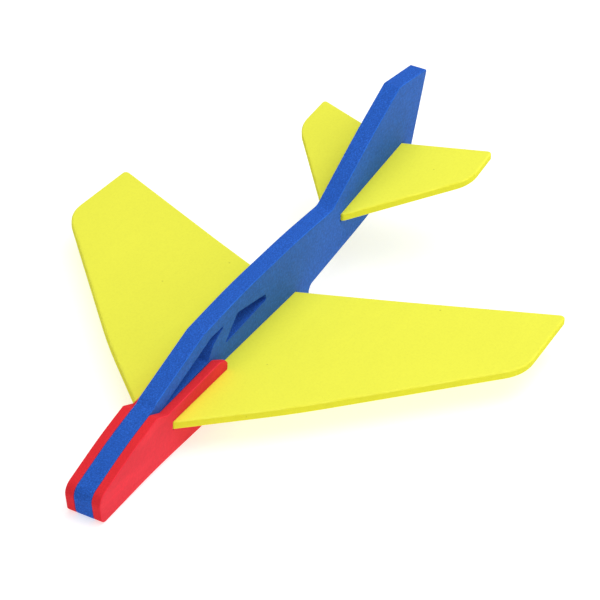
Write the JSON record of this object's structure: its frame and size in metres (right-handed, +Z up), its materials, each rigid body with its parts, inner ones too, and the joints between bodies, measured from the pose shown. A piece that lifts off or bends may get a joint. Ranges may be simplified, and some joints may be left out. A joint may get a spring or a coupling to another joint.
{
  "type": "toy airplane",
  "caption": "Hand-launched foam toy glider: flat fuselage with cut-out canopy windows, swept wing and tailplane pushed through slots, and thick cheeks on the nose.",
  "frame": {"origin": "middle of the airplane's bounding box in plan, at the level of the flat underside of the keel", "axes": "+X forward to the nose, +Y to port, +Z up; the wing's faces are level"},
  "size_m": [0.3506, 0.2774, 0.0931],
  "materials": {
    "blue_foam": "matt closed-cell EVA foam, smooth skin and fine-grained cut edges",
    "yellow_foam": "matt closed-cell EVA foam, smooth skin",
    "red_foam": "matt closed-cell EVA foam, smooth skin"
  },
  "bodies": {
    "airframe": {"fuselage": "blue_foam", "port_cheek": "red_foam", "starboard_cheek": "red_foam"},
    "wing": {"wing": "yellow_foam"},
    "tailplane": {"tailplane": "yellow_foam"}
  },
  "joints": [
    {"name": "wing_slide", "type": "slide", "parent": "airframe", "child": "wing", "axis": [0.4104, -0.9119, 0], "range_m": [0, 0.174]},
    {"name": "tailplane_slide", "type": "slide", "parent": "airframe", "child": "tailplane", "axis": [0.315, -0.9482, -0.0409], "range_m": [0, 0.07]}
  ]
}
